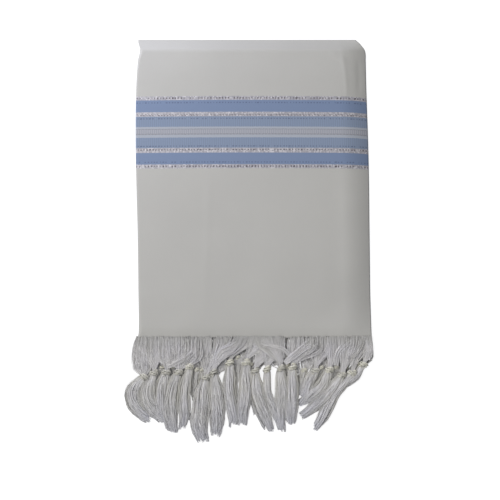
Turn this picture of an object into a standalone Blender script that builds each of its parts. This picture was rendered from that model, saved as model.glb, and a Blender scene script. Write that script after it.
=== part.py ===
"""A fringed prayer shawl, folded flat and lying on a surface.

The shawl is one woven rectangle. It is folded once across its width and twice along its
length, so four double layers lie on each other with both fringed ends together. X runs
across the fold, +Y points to the top fold and +Z is up; the underside lies at z = 0.
"""

import math
from collections import namedtuple

import bmesh
import bpy
from mathutils import Vector

MM = 0.001

# The cut cloth, and the size it folds to
CUT_WIDTH = 610 * MM
CUT_LENGTH = 1626 * MM
FOLDED_WIDTH = CUT_WIDTH / 2
PANEL_LENGTH = CUT_LENGTH / 4
WALL = 1.2 * MM
GAP = 0.3 * MM

# Where the sheet turns, seen from above
CREASE_TO_NOSE = 16.5 * MM
SLOPE_SLACK = 2.5 * MM  # what the slope at the top fold takes out of the panel's plan length
EDGE_Y = -(PANEL_LENGTH - SLOPE_SLACK) / 2
NOSE_Y = EDGE_Y + PANEL_LENGTH - SLOPE_SLACK
CREASE_Y = NOSE_Y - CREASE_TO_NOSE
NOSE_RADIUS = 2.3 * MM
SLOPE_SAG = 0.07  # share of the slope's height
LOWER_FOLD_Y = EDGE_Y + 8.5 * MM
LOWER_FOLD_RADIUS = 2.8 * MM
LOWER_FOLD_RETURN = 6 * MM

# The left edge is a fold of its own: each panel curls round there
ROLL_RADIUS = 2.1 * MM
ROLL_ANGLE = math.radians(150)
ROLL_LENGTH = ROLL_RADIUS * ROLL_ANGLE

# The right side of the front panel droops over the selvages
DROOP_START = 0.82  # share of the half width
DROOP_DEPTH = 9.3 * MM

# Plan outline, from the fringe edge to the top fold: how far in from the folded width's
# limits each side lies, in millimetres
Side = namedtuple("Side", "y left right")
SIDES = (
    Side(-202, 2.0, -1.3),
    Side(-185, 4.9, -0.9),
    Side(-130, 3.9, -0.3),
    Side(-60, 2.3, -0.1),
    Side(15, -0.3, -0.1),
    Side(72, -1.7, 0.7),
    Side(130, -1.7, 2.1),
    Side(172, 0.1, 2.7),
    Side(186, 3.1, 3.3),
    Side(196, 0.5, 10.5),
    Side(202, -0.5, 16.0),
)

# Height of the pile in millimetres: at the left edge and at the middle
Height = namedtuple("Height", "y edge middle droop")
HEIGHTS = (
    Height(-202, 11.4, 12.6, 0.12),
    Height(-176, 12.2, 14.2, 0.4),
    Height(-140, 12.5, 15.2, 0.85),
    Height(-60, 12.6, 16.4, 1.0),
    Height(60, 12.8, 17.0, 1.0),
    Height(150, 13.0, 17.2, 1.0),
    Height(186, 12.6, 16.0, 0.95),
)

# Rows of the front panel: share of the way from the fringe edge to the crease, and how far
# the left edge is rolled there
PanelRow = namedtuple("PanelRow", "share roll")
FRONT_ROWS = (
    PanelRow(0.0, 0.05),
    PanelRow(0.035, 0.4),
    PanelRow(0.09, 0.9),
    PanelRow(0.19, 1.0),
    PanelRow(0.31, 1.0),
    PanelRow(0.43, 1.0),
    PanelRow(0.55, 1.0),
    PanelRow(0.67, 1.0),
    PanelRow(0.79, 1.0),
    PanelRow(0.9, 1.0),
    PanelRow(0.965, 0.55),
    PanelRow(1.0, 0.25),
)
UNDER_ROWS = (
    PanelRow(0.0, 0.0),
    PanelRow(0.06, 0.6),
    PanelRow(0.14, 1.0),
    PanelRow(0.5, 1.0),
    PanelRow(0.86, 1.0),
    PanelRow(0.94, 0.6),
    PanelRow(1.0, 0.0),
)
SLOPE_SHARES = (0.12, 0.5, 0.88)
ARC_STEPS = 5
ROLL_COLUMNS = 5
FLAT_COLUMNS = (0.03, 0.08, 0.16, 0.28, 0.4, 0.52, 0.64, 0.75, 0.83, 0.89, 0.93, 0.96, 0.985, 1.0)

# Inner layers. Each level is a share of the inner height, with how far the layers stand back
# there, in millimetres, from the left, right, fringe and top-fold limits: lips and grooves.
Level = namedtuple("Level", "share left right fringe fold")
LEVELS = (
    Level(0.0, 5.5, 3.5, 3.2, 2.5),
    Level(0.22, 5.0, 3.0, 1.2, 0.6),
    Level(0.29, 1.8, 3.6, 0.8, 0.2),
    Level(0.385, 0.7, 4.6, 0.5, 0.0),
    Level(0.47, 1.8, 6.4, 1.2, 0.8),
    Level(0.50, 3.6, 9.2, 2.8, 3.2),
    Level(0.53, 1.8, 7.6, 1.2, 1.6),
    Level(0.615, 0.7, 8.4, 0.5, 2.2),
    Level(0.71, 1.8, 11.2, 0.9, 3.4),
    Level(0.78, 5.0, 13.6, 1.6, 5.0),
    Level(1.0, 5.5, 15.5, 2.4, 8.0),
)
INNER_FLOOR = WALL + GAP
INNER_TOP_CLEARANCE = 1.9 * MM
INNER_EDGE_Y = EDGE_Y + 2.2 * MM
INNER_NOSE_Y = CREASE_Y + 6 * MM
INNER_STEP_START = LOWER_FOLD_Y + 14 * MM  # its floor rises over the lower fold from here
INNER_STEP_END = LOWER_FOLD_Y + LOWER_FOLD_RETURN + 1.2 * MM
INNER_STEP_HEIGHT = 2 * LOWER_FOLD_RADIUS + GAP
INNER_CORNER = 7 * MM
INNER_ACROSS = (0.0, 0.012, 0.03, 0.1, 0.25, 0.42, 0.58, 0.75, 0.88, 0.96, 0.988, 1.0)
INNER_ALONG = (0.0, 0.009, 0.022, 0.034, 0.048, 0.068, 0.2, 0.36, 0.52, 0.68, 0.84, 0.95, 0.985, 1.0)

# Fringe. Millimetres across from the middle, and out from the cloth's edge: where the
# knot sits, a point halfway along the loose strands, their tip, and how wide they spread.
Tassel = namedtuple("Tassel", "knot_x knot_out mid_x mid_out tip_x tip_out spread")
UPPER_TASSELS = (
    Tassel(-141, 42, -156, 70, -136, 96, 12.5),
    Tassel(-128, 37, -135, 72, -119, 101, 11.5),
    Tassel(-112, 36, -120, 68, -111, 96, 9.5),
    Tassel(-96, 36, -107, 74, -101, 115, 11.0),
    Tassel(-82, 29, -86, 66, -90, 106, 9.0),
    Tassel(-61, 43, -68, 84, -65, 125, 14.5),
    Tassel(-46, 37, -43, 80, -49, 117, 12.5),
    Tassel(-30, 24, -30, 64, -27, 106, 12.0),
    Tassel(-9, 24, -11, 64, -12, 103, 12.0),
    Tassel(3, 34, 8, 72, 22, 111, 10.5),
    Tassel(18, 32, 22, 68, 30, 104, 6.5),
    Tassel(36, 31, 36, 68, 39.5, 111, 9.5),
    Tassel(51, 30, 51, 68, 50, 105, 9.0),
    Tassel(80, 34, 72, 50, 60, 68, 8.0),
    Tassel(98, 33, 84, 57, 61, 79, 9.0),
    Tassel(114, 40, 94, 66, 63, 91, 10.0),
    Tassel(127, 37, 110, 75, 80, 108, 11.0),
    Tassel(142, 26, 132, 48, 112, 74, 8.0),
)
LOWER_TASSELS = (
    Tassel(-134, 33, -142, 60, -134, 84, 9.0),
    Tassel(-118, 30, -125, 60, -118, 84, 9.0),
    Tassel(-103, 29, -110, 60, -107, 88, 9.0),
    Tassel(-88, 30, -93, 60, -94, 86, 9.0),
    Tassel(-73, 33, -78, 64, -83, 96, 9.0),
    Tassel(-55, 30, -57, 64, -57, 94, 9.0),
    Tassel(-20, 17, -20, 56, -19, 84, 9.0),
    Tassel(-1, 26, -2, 56, 0, 84, 9.0),
    Tassel(28, 22, 29, 56, 33, 84, 7.0),
    Tassel(44, 27, 44, 58, 44, 86, 8.0),
    Tassel(64, 34, 61, 48, 57, 60, 7.0),
    Tassel(88, 30, 80, 46, 70, 60, 7.0),
    Tassel(102, 30, 92, 50, 78, 68, 7.0),
    Tassel(119, 30, 107, 54, 92, 74, 8.0),
    Tassel(137, 27, 127, 46, 116, 62, 8.0),
)

# How each fringe hangs, in millimetres above the floor
Hang = namedtuple("Hang", "knot rest tip strands knot_width knot_height thickness")
UPPER_HANG = Hang(8.0, 5.4, 2.4, 4, 7.0, 5.4, 2.2)
LOWER_HANG = Hang(3.5, 2.0, 1.5, 3, 5.6, 4.4, 1.8)
KnotRow = namedtuple("KnotRow", "reach width height")  # shares of the knot's half length and size
KNOT_ROWS = (
    KnotRow(-1.1, 0.5, 0.5),
    KnotRow(-0.35, 1.0, 1.0),
    KnotRow(0.4, 0.95, 0.9),
    KnotRow(1.1, 0.62, 0.6),
)
STRIP_DEPTH = 1.5 * MM
STRIP_INSET = 2 * MM
STRIP_HEIGHT = 1.2 * MM
LOWER_STRIP_TOP = 8.3 * MM
LOWER_STRIP_Y = INNER_EDGE_Y + 0.2 * MM
FAN_STEPS = (0.34, 0.74)
FAN_WIDTHS = (0.88, 0.6)  # shares of the width at the root
FAN_HEIGHTS = (1.3, 1.9)
FAN_RIDGE = 0.35 * MM
FAN_ARCH = 1.2 * MM
STRAND_STEPS = (0.12, 0.42, 0.76)
STRAND_STAGGER = 0.03  # share of the length by which tips differ
STRAND_SPREAD_POWER = 0.7
STRAND_FULLNESS = 0.78  # share of its place that a strand fills
STRAND_UNEVENNESS = 0.25 * MM
STRAND_FLOOR_GAP = 0.4 * MM
TIP_THINNING = 0.45
EDGE_THINNING = 0.45  # how much thinner a fan or knot is at its sides


def lerp(a, b, t):
    return a + (b - a) * t


def read_table(rows, y, column):
    """The column at y, on a smooth curve through a table's rows, in metres."""
    place = y / MM
    last = len(rows) - 1
    index = next((i for i in range(last) if place <= rows[i + 1].y), last - 1)
    values = [getattr(rows[min(max(index + k, 0), last)], column) for k in (-1, 0, 1, 2)]
    t = (place - rows[index].y) / (rows[index + 1].y - rows[index].y)
    t = min(max(t, 0.0), 1.0)
    bend_in = (values[2] - values[0]) / 2
    bend_out = (values[3] - values[1]) / 2
    rise = values[2] - values[1]
    cubic = values[1] + t * (bend_in + t * (3 * rise - 2 * bend_in - bend_out
                                            + t * (bend_in + bend_out - 2 * rise)))
    return cubic * MM


def left_side(y):
    return -FOLDED_WIDTH / 2 + read_table(SIDES, y, "left")


def right_side(y):
    return FOLDED_WIDTH / 2 - read_table(SIDES, y, "right")


def top_height(x, y):
    """The front panel's outer face: crowned in the middle, drooping at the right."""
    middle = (left_side(y) + right_side(y)) / 2
    across = (x - middle) / (right_side(y) - middle)
    edge = read_table(HEIGHTS, y, "edge")
    crown = read_table(HEIGHTS, y, "middle") - edge
    droop = max(0.0, (across - DROOP_START) / (1 - DROOP_START)) ** 2
    droop *= DROOP_DEPTH * read_table(HEIGHTS, y, "droop") / MM
    return edge + crown * max(0.0, 1 - across * across) - droop


def new_material(name, color, roughness):
    material = bpy.data.materials.new(name)
    material.use_nodes = True
    shader = material.node_tree.nodes["Principled BSDF"]
    shader.inputs["Base Color"].default_value = (*color, 1.0)
    shader.inputs["Roughness"].default_value = roughness
    shader.inputs["Metallic"].default_value = 0.0
    return material


def new_object(name, mesh, material):
    obj = bpy.data.objects.new(name, mesh)
    bpy.context.scene.collection.objects.link(obj)
    mesh.materials.append(material)
    mesh.shade_smooth()
    mesh.set_sharp_from_angle(angle=math.radians(50))
    return obj


def arc(center_y, center_z, radius, start, end, steps):
    """Points (y, z) on an arc, the start left out; angles in degrees from +Y."""
    for step in range(1, steps + 1):
        angle = math.radians(lerp(start, end, step / steps))
        yield center_y + radius * math.cos(angle), center_z + radius * math.sin(angle)


def sheet_rows():
    """The sheet's rows, from the fringe edge over the top fold and back to the lower fold.

    Each is its y, its height as a function of x, how far its left edge rolls, and the
    way that the roll turns: down on the front panel, up on the underside.
    """
    rows = []
    for row in FRONT_ROWS:
        y = lerp(EDGE_Y, CREASE_Y, row.share)
        rows.append((y, lambda x, y=y: top_height(x, y), row.roll, -1))
    nose_center = NOSE_Y - NOSE_RADIUS
    for share in SLOPE_SHARES:
        y = lerp(CREASE_Y, nose_center, share)
        rows.append((y, lambda x, share=share: slope_height(x, share), 0.0, -1))
    for y, z in arc(nose_center, NOSE_RADIUS, NOSE_RADIUS, 90, -90, ARC_STEPS):
        rows.append((y, lambda x, z=z: z, 0.0, 1))
    for row in UNDER_ROWS[1:]:
        y = lerp(nose_center, LOWER_FOLD_Y, row.share)
        rows.append((y, lambda x: 0.0, row.roll, 1))
    for y, z in arc(LOWER_FOLD_Y, LOWER_FOLD_RADIUS, LOWER_FOLD_RADIUS, 270, 90, ARC_STEPS):
        rows.append((y, lambda x, z=z: z, 0.0, 1))
    rows.append((LOWER_FOLD_Y + LOWER_FOLD_RETURN, lambda x: 2 * LOWER_FOLD_RADIUS, 0.0, 1))
    return rows


def slope_height(x, share):
    """The slope from the crease down to the top fold's nose, sagging a little."""
    straight = lerp(top_height(x, CREASE_Y), 2 * NOSE_RADIUS, share)
    sag = SLOPE_SAG * math.sin(math.pi * share) * (straight - 2 * NOSE_RADIUS)
    return max(straight - sag, 2 * NOSE_RADIUS)


def rolled(length, roll):
    """Across and in, for a point that far out along an edge rolled by that share."""
    angle = max(roll * ROLL_ANGLE, 1e-4)
    radius = ROLL_LENGTH / angle
    turn = angle * length / ROLL_LENGTH
    return radius * math.sin(turn), radius * (1 - math.cos(turn))


def sheet_row_points(row):
    y, height, roll, inward = row
    reach = max(rolled(ROLL_LENGTH * k / ROLL_COLUMNS, roll)[0] for k in range(ROLL_COLUMNS + 1))
    start = left_side(y) + reach
    points = []
    for k in range(ROLL_COLUMNS, -1, -1):
        out, depth = rolled(ROLL_LENGTH * k / ROLL_COLUMNS, roll)
        points.append(Vector((start - out, y, height(start) + inward * depth)))
    for share in FLAT_COLUMNS:
        x = lerp(start, right_side(y), share)
        points.append(Vector((x, y, height(x))))
    return points


def make_outer_cloth():
    """The layer that shows, as one sheet with a real wall."""
    mesh = bpy.data.meshes.new("outer_cloth")
    bm = bmesh.new()
    grid = [[bm.verts.new(p) for p in sheet_row_points(row)] for row in sheet_rows()]
    for low, high in zip(grid, grid[1:]):
        for k in range(len(low) - 1):
            bm.faces.new((low[k], low[k + 1], high[k + 1], high[k]))
    bm.to_mesh(mesh)
    bm.free()
    cloth = new_object("outer_cloth", mesh, new_material("cloth", (0.66, 0.65, 0.62), 0.8))
    wall = cloth.modifiers.new("wall", "SOLIDIFY")
    wall.thickness = WALL
    wall.offset = -1.0
    wall.use_even_offset = True
    return cloth


def round_corner(x, y, low, high):
    """A point of a plan rectangle, with the rectangle's corners rounded."""
    across = max(0.0, low.x + INNER_CORNER - x, x - high.x + INNER_CORNER)
    along = max(0.0, low.y + INNER_CORNER - y, y - high.y + INNER_CORNER)
    length = math.hypot(across, along)
    if length == 0.0:
        return x, y
    pull = 1 - max(across, along) / length
    x += across * pull * (1 if x < (low.x + high.x) / 2 else -1)
    y += along * pull * (1 if y < (low.y + high.y) / 2 else -1)
    return x, y


def inner_point(across, along, level):
    """A point on the hidden layers' skin, from its shares across, along and up."""
    south = INNER_EDGE_Y + level.fringe * MM
    north = INNER_NOSE_Y - level.fold * MM
    y = lerp(south, north, along)
    west = left_side(y) + level.left * MM
    east = right_side(y) - level.right * MM
    x = lerp(west, east, across)
    x, y = round_corner(x, y, Vector((west, south)), Vector((east, north)))
    step = (INNER_STEP_START - y) / (INNER_STEP_START - INNER_STEP_END)
    floor = INNER_FLOOR + min(max(step, 0.0), 1.0) * (INNER_STEP_HEIGHT - INNER_FLOOR)
    top = top_height(x, min(y, CREASE_Y)) - INNER_TOP_CLEARANCE
    return Vector((x, y, lerp(floor, top, level.share)))


def make_inner_folds():
    """The layers inside, one solid with a box's six sides and layered edges."""
    mesh = bpy.data.meshes.new("inner_folds")
    bm = bmesh.new()
    nx, ny, nz = len(INNER_ACROSS) - 1, len(INNER_ALONG) - 1, len(LEVELS) - 1
    made = {}

    def corner(place):
        if place not in made:
            i, j, k = place
            made[place] = bm.verts.new(inner_point(INNER_ACROSS[i], INNER_ALONG[j], LEVELS[k]))
        return made[place]

    def face(*places):
        bm.faces.new([corner(place) for place in places])

    for i in range(nx):
        for j in range(ny):
            face((i, j, 0), (i, j + 1, 0), (i + 1, j + 1, 0), (i + 1, j, 0))
            face((i, j, nz), (i + 1, j, nz), (i + 1, j + 1, nz), (i, j + 1, nz))
    for k in range(nz):
        for j in range(ny):
            face((0, j, k), (0, j, k + 1), (0, j + 1, k + 1), (0, j + 1, k))
            face((nx, j, k), (nx, j + 1, k), (nx, j + 1, k + 1), (nx, j, k + 1))
        for i in range(nx):
            face((i, 0, k), (i + 1, 0, k), (i + 1, 0, k + 1), (i, 0, k + 1))
            face((i, ny, k), (i, ny, k + 1), (i + 1, ny, k + 1), (i + 1, ny, k))
    bm.to_mesh(mesh)
    bm.free()
    return new_object("inner_folds", mesh, new_material("inner cloth", (0.6, 0.59, 0.57), 0.85))


def bezier(start, middle, end, t):
    """A curve that passes through its middle point halfway."""
    control = 2 * middle - (start + end) / 2
    return (1 - t) ** 2 * start + 2 * t * (1 - t) * control + t * t * end


def section_axes(direction):
    """Across and up for a section that a path meets in that direction."""
    across = direction.cross(Vector((0, 0, 1))).normalized()
    return across, across.cross(direction).normalized()


def wobble(first, second):
    """An even spread of values from -1 to 1, the same each time."""
    return math.sin(12.9898 * first + 78.233 * second + 1.3)


def add_ring(bm, columns, center, direction, width, height, ridge):
    """A flat ring of vertices, upper row then lower row, one column for each strand."""
    across, up = section_axes(direction)
    ring = []
    for side in (1, -1):
        line = []
        for k in range(columns + 1):
            offset = lerp(-width / 2, width / 2, k / columns)
            round_off = 1 - EDGE_THINNING * (2 * k / columns - 1) ** 2
            lift = side * height / 2 * round_off + (ridge if k % 2 else -ridge) * (side > 0)
            line.append(bm.verts.new(center - across * offset + up * lift))
        ring.append(line)
    return ring


def bridge(bm, first, second):
    """Faces between two rings of the same number of columns."""
    upper_a, lower_a = first
    upper_b, lower_b = second
    for k in range(len(upper_a) - 1):
        bm.faces.new((upper_a[k], upper_a[k + 1], upper_b[k + 1], upper_b[k]))
        bm.faces.new((lower_a[k + 1], lower_a[k], lower_b[k], lower_b[k + 1]))
    bm.faces.new((lower_a[0], upper_a[0], upper_b[0], lower_b[0]))
    bm.faces.new((upper_a[-1], lower_a[-1], lower_b[-1], upper_b[-1]))


def add_strand(bm, ring, column, stations, thickness):
    """One four-sided strand from a column of the knot's last ring to its tip."""
    last = [ring[0][column:column + 2], ring[1][column:column + 2]]
    for index, (point, direction, width) in enumerate(stations):
        tip = index == len(stations) - 1
        height = thickness * (TIP_THINNING if tip else 1.0)
        new = add_ring(bm, 1, point, direction, width, height, 0.0)
        bridge(bm, last, new)
        last = new
    bm.faces.new((last[0][0], last[0][1], last[1][1], last[1][0]))


def add_tassel(bm, index, tassel, hang, roots):
    """A fan of threads from the strip, its knot, and the loose strands below it."""
    columns = hang.strands
    root = (roots[0][0].co + roots[0][-1].co + roots[1][0].co + roots[1][-1].co) / 4
    root_width = (roots[0][-1].co - roots[0][0].co).length
    knot = Vector((tassel.knot_x * MM, EDGE_Y - tassel.knot_out * MM, hang.knot * MM))
    middle = Vector((tassel.mid_x * MM, EDGE_Y - tassel.mid_out * MM, hang.rest * MM))
    tip = Vector((tassel.tip_x * MM, EDGE_Y - tassel.tip_out * MM, hang.tip * MM))
    half_knot = hang.knot_width / 2 * MM
    thickness = hang.thickness * MM

    outward = (bezier(knot, middle, tip, 0.05) - knot).normalized()
    neck = knot + outward * half_knot * KNOT_ROWS[0].reach
    arch = (root + neck) / 2 + Vector((0, 0, FAN_ARCH))
    last = roots
    for t, width, height in zip(FAN_STEPS, FAN_WIDTHS, FAN_HEIGHTS):
        center = bezier(root, arch, neck, t)
        ahead = bezier(root, arch, neck, t + 0.05) - center
        ahead.x = 0.0  # the fan's sections stay parallel to the cloth's edge
        ring = add_ring(bm, columns, center, ahead.normalized(), root_width * width, height * MM, FAN_RIDGE)
        bridge(bm, last, ring)
        last = ring
    for row in KNOT_ROWS:
        center = knot + outward * half_knot * row.reach
        ring = add_ring(bm, columns, center, outward, hang.knot_width * row.width * MM,
                        hang.knot_height * row.height * MM, 0.0)
        bridge(bm, last, ring)
        last = ring

    start = knot + outward * half_knot * KNOT_ROWS[-1].reach
    root_step = hang.knot_width * KNOT_ROWS[-1].width * MM / columns
    for column in range(columns):
        place = column - (columns - 1) / 2
        stations = []
        for t in (*STRAND_STEPS, 1 + STRAND_STAGGER * wobble(index, column)):
            center = bezier(start, middle, tip, t)
            ahead = (bezier(start, middle, tip, t + 0.02) - center).normalized()
            across = section_axes(ahead)[0]
            step = lerp(root_step, tassel.spread / columns * MM, t ** STRAND_SPREAD_POWER)
            point = center - across * place * step
            lift = STRAND_UNEVENNESS * wobble(column, index) * t
            point.z = max(point.z + lift, thickness / 2 + STRAND_FLOOR_GAP)
            stations.append((point, ahead, step * STRAND_FULLNESS))
        add_strand(bm, last, column, stations, thickness)


def make_fringe(name, tassels, hang, strip_y, strip_top, material):
    """A narrow strip just clear of the cloth's edge, with a tassel for each stretch of it."""
    mesh = bpy.data.meshes.new(name)
    bm = bmesh.new()
    west = left_side(EDGE_Y) + STRIP_INSET
    east = right_side(EDGE_Y) - STRIP_INSET
    count = len(tassels) * hang.strands
    back, front = [], []
    for line, y in ((back, strip_y), (front, strip_y - STRIP_DEPTH)):
        upper, lower = [], []
        for k in range(count + 1):
            x = lerp(west, east, k / count)
            z = strip_top(x)
            upper.append(bm.verts.new((x, y, z)))
            lower.append(bm.verts.new((x, y, z - STRIP_HEIGHT)))
        line.extend((upper, lower))
    bridge(bm, back, front)
    for k in range(count):
        bm.faces.new((back[0][k + 1], back[0][k], back[1][k], back[1][k + 1]))
    for index, tassel in enumerate(tassels):
        first = index * hang.strands
        roots = [line[first:first + hang.strands + 1] for line in front]
        add_tassel(bm, index, tassel, hang, roots)
    bmesh.ops.recalc_face_normals(bm, faces=bm.faces)
    bm.to_mesh(mesh)
    bm.free()
    return new_object(name, mesh, material)


def main():
    for obj in list(bpy.data.objects):
        bpy.data.objects.remove(obj)
    make_outer_cloth()
    make_inner_folds()
    threads = new_material("fringe threads", (0.62, 0.61, 0.58), 0.75)
    make_fringe("fringe_upper", UPPER_TASSELS, UPPER_HANG, EDGE_Y - GAP,
                lambda x: top_height(x, EDGE_Y), threads)
    make_fringe("fringe_lower", LOWER_TASSELS, LOWER_HANG, LOWER_STRIP_Y,
                lambda x: LOWER_STRIP_TOP, threads)


main()
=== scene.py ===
import math
import random

import bpy
import numpy as np
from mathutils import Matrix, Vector


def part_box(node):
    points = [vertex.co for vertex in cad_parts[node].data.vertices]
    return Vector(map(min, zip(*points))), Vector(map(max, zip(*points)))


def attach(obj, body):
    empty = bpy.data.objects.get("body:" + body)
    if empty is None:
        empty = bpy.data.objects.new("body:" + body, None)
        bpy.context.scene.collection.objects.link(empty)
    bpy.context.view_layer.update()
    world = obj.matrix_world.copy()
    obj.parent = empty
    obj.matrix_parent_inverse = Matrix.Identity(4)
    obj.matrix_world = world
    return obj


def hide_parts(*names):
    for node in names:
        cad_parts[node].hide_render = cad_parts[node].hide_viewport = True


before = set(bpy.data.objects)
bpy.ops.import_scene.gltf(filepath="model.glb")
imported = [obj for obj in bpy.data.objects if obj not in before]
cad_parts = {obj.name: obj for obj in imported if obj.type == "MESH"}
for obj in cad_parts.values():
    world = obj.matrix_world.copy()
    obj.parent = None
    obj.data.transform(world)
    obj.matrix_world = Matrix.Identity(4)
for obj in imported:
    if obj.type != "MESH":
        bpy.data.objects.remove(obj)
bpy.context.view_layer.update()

mm = 0.001
clothLow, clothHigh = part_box("outer_cloth")
edgeY = round(clothLow.y, 3)  # the cloth's fringe edge
noseY = round(clothHigh.y, 3)  # the top fold
print("frame loaded:", sorted(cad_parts))


class Wire:
    # a node's output that adds its own Math nodes, so sums read as sums

    def __init__(self, nodes, socket):
        self.nodes = nodes
        self.socket = socket

    def math(self, operation, *values):
        return self.nodes.add("ShaderNodeMath", {"operation": operation}, dict(enumerate(values)))

    def __add__(self, other):
        return self.math("ADD", self, other)

    def __radd__(self, other):
        return self.math("ADD", other, self)

    def __sub__(self, other):
        return self.math("SUBTRACT", self, other)

    def __rsub__(self, other):
        return self.math("SUBTRACT", other, self)

    def __mul__(self, other):
        return self.math("MULTIPLY", self, other)

    def __rmul__(self, other):
        return self.math("MULTIPLY", other, self)

    def __truediv__(self, other):
        return self.math("DIVIDE", self, other)

    def __pow__(self, other):
        return self.math("POWER", self, other)

    def __mod__(self, other):
        return self.math("FLOORED_MODULO", self, other)

    def __lt__(self, other):
        return self.math("LESS_THAN", self, other)

    def __gt__(self, other):
        return self.math("GREATER_THAN", self, other)

    def wave(self):
        return self.math("SINE", self)

    def floor(self):
        return self.math("FLOOR", self)

    def most(self, other):
        return self.math("MAXIMUM", self, other)


class Nodes:
    # one tree, cleared, and the one method that adds a node to it

    def __init__(self, tree):
        self.tree = tree
        tree.nodes.clear()

    def add(self, kind, settings=None, sockets=None, output=0):
        node = self.tree.nodes.new(kind)
        for name, value in (settings or {}).items():
            if name == "stops":
                self.setStops(node.color_ramp, value)
            elif name == "blend":
                node.color_ramp.interpolation = value
            else:
                setattr(node, name, value)
        for name, value in (sockets or {}).items():
            if isinstance(value, Wire):
                self.tree.links.new(value.socket, node.inputs[name])
            else:
                node.inputs[name].default_value = value
        return Wire(self, node.outputs[output]) if node.outputs else node

    def setStops(self, ramp, stops):
        while len(ramp.elements) > 1:
            ramp.elements.remove(ramp.elements[-1])
        for index, (place, color) in enumerate(stops):
            stop = ramp.elements[0] if index == 0 else ramp.elements.new(place)
            stop.position = place
            stop.color = (*color, 1.0) if isinstance(color, tuple) else (color, color, color, 1.0)

    def mix(self, share, first, second):
        return self.add("ShaderNodeMix", {"data_type": "RGBA"}, {0: share, 6: first, 7: second}, 2)

    def noise(self, where, scale, detail=2.0):
        return self.add("ShaderNodeTexNoise", None, {"Vector": where, "Scale": scale, "Detail": detail})

    def vector(self, x, y, z=0.0):
        return self.add("ShaderNodeCombineXYZ", None, {0: x, 1: y, 2: z})

    def axis(self, vector, number):
        return self.add("ShaderNodeSeparateXYZ", None, {0: vector}, number)

    def dice(self, x, y):
        cell = self.vector(x, y)
        return self.add("ShaderNodeTexWhiteNoise", {"noise_dimensions": "2D"}, {"Vector": cell})

    def scaled(self, vector, amount):
        return self.add("ShaderNodeVectorMath", {"operation": "SCALE"}, {0: vector, "Scale": amount})

    def plus(self, first, second):
        return self.add("ShaderNodeVectorMath", {"operation": "ADD"}, {0: first, 1: second})


def color(r, g, b):
    return (r, g, b, 1.0)


# the cloth's pattern, in millimetres of cloth from the fringe edge
stripes = {
    "start": 229.0,
    # kind and width, from the fringe side
    "bands": [
        ("dashes", 1.7), ("crossings", 1.7), ("dashes", 1.9), ("satin", 2.0),
        ("satinSpecks", 1.3), ("satin", 12.0), ("dashes", 3.0), ("crossings", 1.8),
        ("dashes", 1.2), ("ribbed", 1.9), ("ribbedSpecks", 1.4), ("ribbed", 10.9),
        ("pale", 3.7), ("line", 1.2), ("paleRibs", 5.4), ("line", 1.2),
        ("pale", 2.8), ("ribbed", 9.9), ("ribbedSpecks", 1.5), ("ribbed", 2.0),
        ("dashes", 1.0), ("crossings", 1.8), ("dashes", 3.0), ("satin", 12.0),
        ("satinSpecks", 1.6), ("satin", 2.7), ("dashes", 1.5), ("crossings", 1.9),
        ("dashes", 1.5),
    ],
    "colors": {
        "plain": (0.59, 0.58, 0.555),
        "dashes": (0.50, 0.49, 0.53),
        "crossings": (0.50, 0.49, 0.53),
        "satin": (0.222, 0.290, 0.445),
        "satinSpecks": (0.222, 0.290, 0.445),
        "ribbed": (0.285, 0.352, 0.485),
        "ribbedSpecks": (0.285, 0.352, 0.485),
        "pale": (0.46, 0.49, 0.55),
        "line": (0.26, 0.27, 0.31),
        "paleRibs": (0.49, 0.49, 0.53),
    },
    "ribPitch": 2.8,
    "dashPitch": 3.9,
    "dotPitch": 1.9,
    "margin": 20.0,  # plain cloth that the ramp covers on both sides
}
weave = {"pitch": 0.55, "depth": 0.03 * mm}
clothTones = {
    "shade": color(0.575, 0.565, 0.535),
    "ivory": color(0.61, 0.60, 0.565),
    "slub": color(0.50, 0.49, 0.47),
    "silver": color(0.42, 0.41, 0.45),
    "glint": color(0.72, 0.70, 0.73),
    "crossing": color(0.10, 0.085, 0.10),
    "rib": color(0.215, 0.255, 0.335),
    "speck": color(0.08, 0.10, 0.18),
    "dot": color(0.46, 0.46, 0.50),
    "leaving": color(0.62, 0.61, 0.585),  # threads where they leave the weave
}


def bandStops(valueOf):
    # constant stops of a ramp over the striped band, plain on both sides
    margin = stripes["margin"]
    span = sum(width for kind, width in stripes["bands"]) + 2 * margin
    stops = [(0.0, valueOf("plain"))]
    place = margin
    for kind, width in stripes["bands"]:
        stops.append((place / span, valueOf(kind)))
        place += width
    stops.append((place / span, valueOf("plain")))
    return stops, stripes["start"] - margin, span


def newMaterial(name):
    material = bpy.data.materials.new(name)
    material.use_nodes = True
    return material, Nodes(material.node_tree)


def addShader(nodes, sockets):
    shader = nodes.add("ShaderNodeBsdfPrincipled", None, sockets)
    nodes.add("ShaderNodeOutputMaterial", None, {"Surface": shader})


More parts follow.
